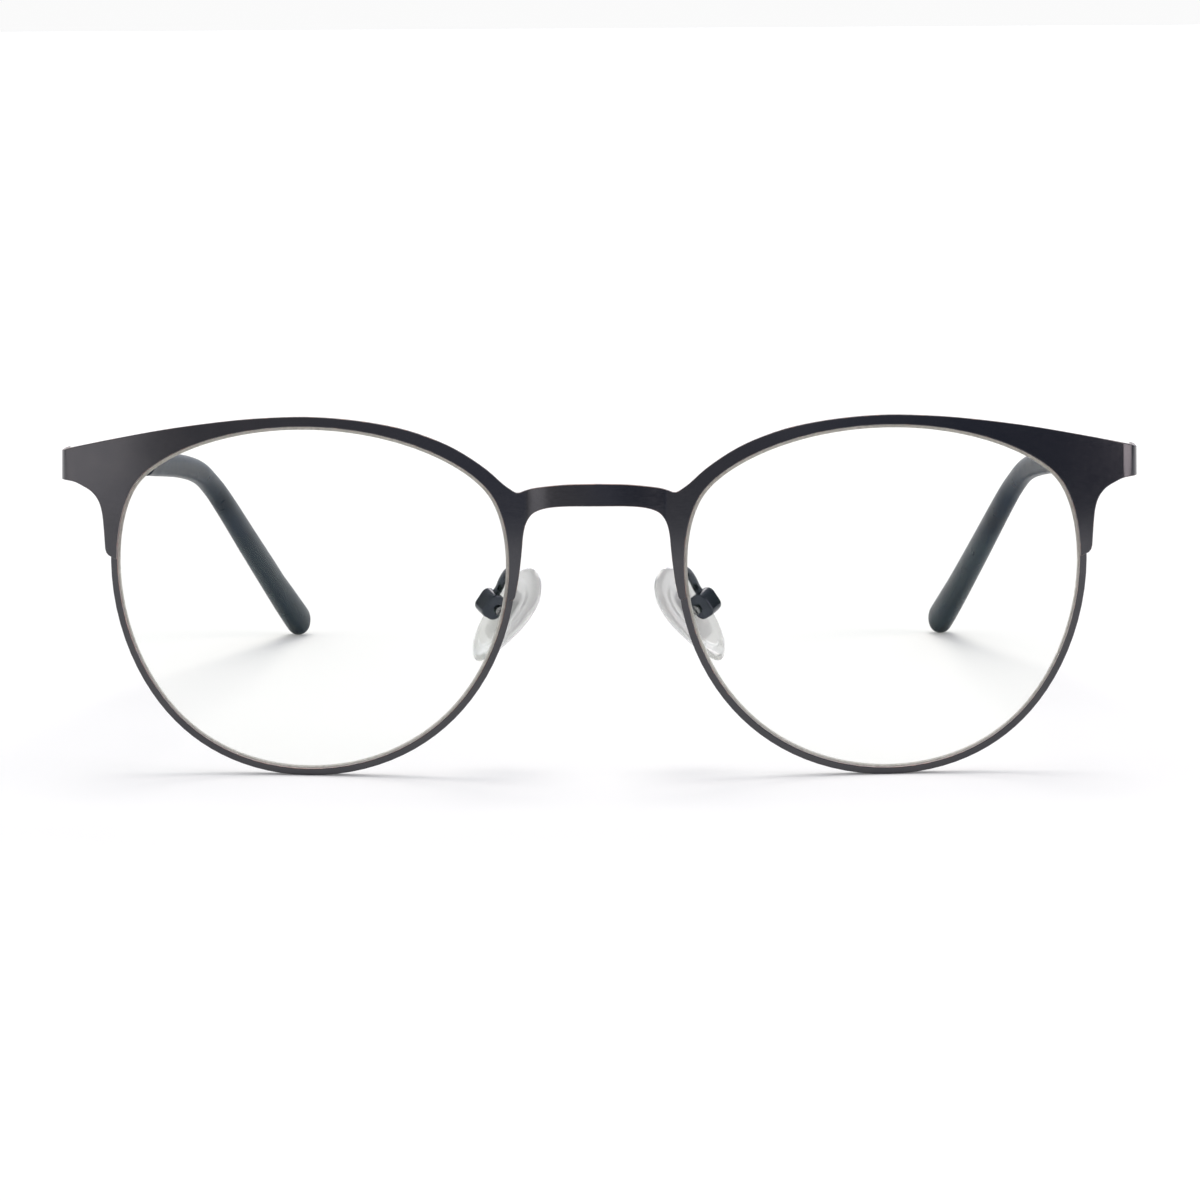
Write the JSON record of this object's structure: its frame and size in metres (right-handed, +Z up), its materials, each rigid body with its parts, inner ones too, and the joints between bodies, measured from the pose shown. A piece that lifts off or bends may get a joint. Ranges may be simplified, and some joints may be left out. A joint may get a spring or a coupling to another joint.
{
  "type": "eyeglasses",
  "caption": "Metal eyeglasses: a bent sheet brow plate over thin round eyewires, clear lenses, rocking nose pads and temples that fold on screwed hinges.",
  "frame": {"origin": "middle of the bottom face of the bounding box, on the surface that the rims and tips stand on", "axes": "+X toward the wearer's left, +Y from the front back along the temples, +Z up"},
  "size_m": [0.1388, 0.1468, 0.0463],
  "materials": {
    "gunmetal": "satin dark grey",
    "dark_metal": "glossy blue-black",
    "steel": "bright",
    "tip": "glossy blue-grey",
    "clear_pad": "clear and soft",
    "lens": "clear, coated"
  },
  "bodies": {
    "front": {"brow_plate": "gunmetal", "left_eyewire": "gunmetal", "right_eyewire": "gunmetal", "left_lens": "lens", "right_lens": "lens", "left_upper_closing_block": "gunmetal", "right_upper_closing_block": "gunmetal", "left_lower_closing_block": "gunmetal", "right_lower_closing_block": "gunmetal", "left_rim_screw": "steel", "right_rim_screw": "steel", "left_front_hinge_leaf": "gunmetal", "right_front_hinge_leaf": "gunmetal", "left_hinge_screw": "steel", "right_hinge_screw": "steel", "left_pad_arm": "dark_metal", "right_pad_arm": "dark_metal", "left_pad_box": "dark_metal", "right_pad_box": "dark_metal", "left_pad_screw": "steel", "right_pad_screw": "steel"},
    "left_temple": {"left_temple": "gunmetal", "left_temple_tip": "tip", "left_temple_hinge_leaf": "gunmetal"},
    "right_temple": {"right_temple": "gunmetal", "right_temple_tip": "tip", "right_temple_hinge_leaf": "gunmetal"},
    "left_pad": {"left_nose_pad": "clear_pad", "left_pad_insert": "steel"},
    "right_pad": {"right_nose_pad": "clear_pad", "right_pad_insert": "steel"}
  },
  "joints": [
    {"name": "left_temple_fold", "type": "hinge", "parent": "front", "child": "left_temple", "pos_m": [0.06715, -0.05651, 0.0393], "axis": [0, 0, 1], "range_deg": [0, 82]},
    {"name": "right_temple_fold", "type": "hinge", "parent": "front", "child": "right_temple", "pos_m": [-0.06715, -0.05651, 0.0393], "axis": [0, 0, -1], "range_deg": [0, 78]},
    {"name": "left_pad_rock", "type": "hinge", "parent": "front", "child": "left_pad", "pos_m": [0.01335, -0.06497, 0.02139], "axis": [0.4663, 0.829, 0.3086], "range_deg": [-10, 10]},
    {"name": "right_pad_rock", "type": "hinge", "parent": "front", "child": "right_pad", "pos_m": [-0.01335, -0.06497, 0.02139], "axis": [-0.4663, 0.829, 0.3086], "range_deg": [-10, 10]}
  ]
}
